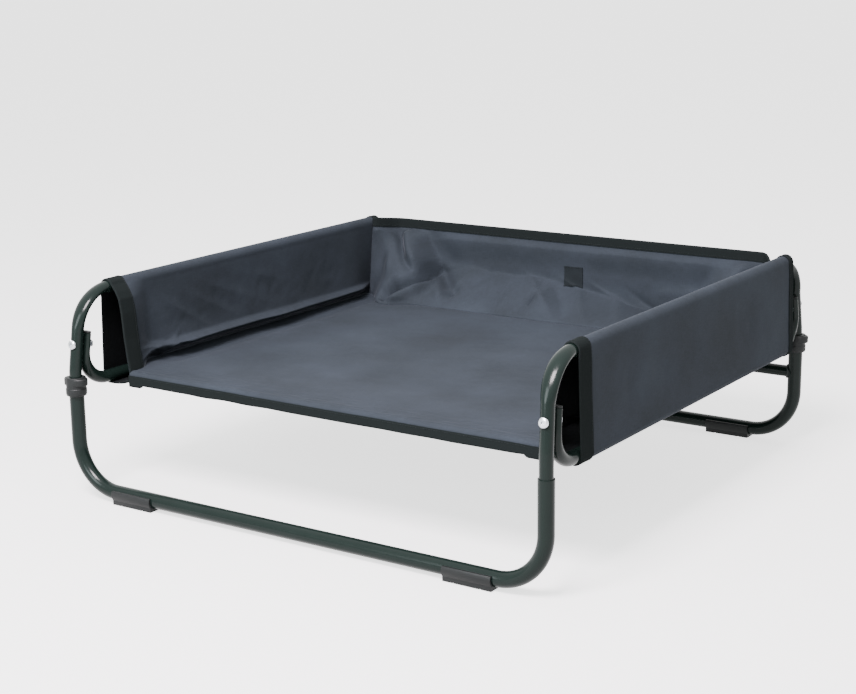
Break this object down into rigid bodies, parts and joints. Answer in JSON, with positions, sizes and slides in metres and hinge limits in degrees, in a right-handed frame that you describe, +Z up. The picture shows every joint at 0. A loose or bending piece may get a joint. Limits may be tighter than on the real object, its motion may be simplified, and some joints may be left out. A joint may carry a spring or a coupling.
{
  "type": "raised dog bed",
  "caption": "Low square dog bed: bent tube frame on clipped feet, with a stretched fabric floor, fabric side walls and a back wall, open at the front.",
  "frame": {"origin": "on the floor under the middle of the bed", "axes": "+Z up, the open front faces -Y, +X to the right as seen from the front"},
  "size_m": [0.724, 0.7168, 0.2746],
  "materials": {
    "frame_paint": "semi-gloss dark grey-green powder coat on steel tube",
    "black_plastic": "moulded, matt",
    "zinc_steel": "bright zinc plate",
    "cloth": "coated polyester weave, slate grey",
    "tape": "woven binding tape, near black",
    "label": "plain woven label"
  },
  "bodies": {
    "top_frame": {"side_frame_left": "frame_paint", "side_frame_right": "frame_paint", "side_rail_left": "frame_paint", "side_rail_right": "frame_paint", "collar_front_left": "black_plastic", "collar_back_right": "black_plastic", "rail_plug_front_left": "black_plastic", "rail_plug_front_right": "black_plastic", "rail_plug_back_left": "black_plastic", "rail_plug_back_right": "black_plastic", "screw_front_left": "zinc_steel", "screw_front_right": "zinc_steel", "screw_back_left": "zinc_steel", "screw_back_right": "zinc_steel", "nut_front_left": "zinc_steel", "nut_front_right": "zinc_steel", "nut_back_left": "zinc_steel", "nut_back_right": "zinc_steel", "sleeve_left": "cloth", "sleeve_right": "cloth", "floor_panel": "cloth", "back_wall": "cloth", "sleeve_tape_front_left": "tape", "sleeve_tape_front_right": "tape", "sleeve_tape_back_left": "tape", "sleeve_tape_back_right": "tape", "floor_tape": "tape", "back_tape": "tape", "woven_label": "label"},
    "front_legs": {"leg_frame_front": "frame_paint", "foot_front_left": "black_plastic", "foot_front_right": "black_plastic"},
    "back_legs": {"leg_frame_back": "frame_paint", "rear_cross_bar": "frame_paint", "foot_back_left": "black_plastic", "foot_back_right": "black_plastic"}
  },
  "joints": [
    {"name": "front_legs_slide", "type": "slide", "parent": "top_frame", "child": "front_legs", "axis": [0, 0, -1], "range_m": [0, 0.05]},
    {"name": "back_legs_slide", "type": "slide", "parent": "top_frame", "child": "back_legs", "axis": [0, 0, -1], "range_m": [0, 0.05]}
  ]
}
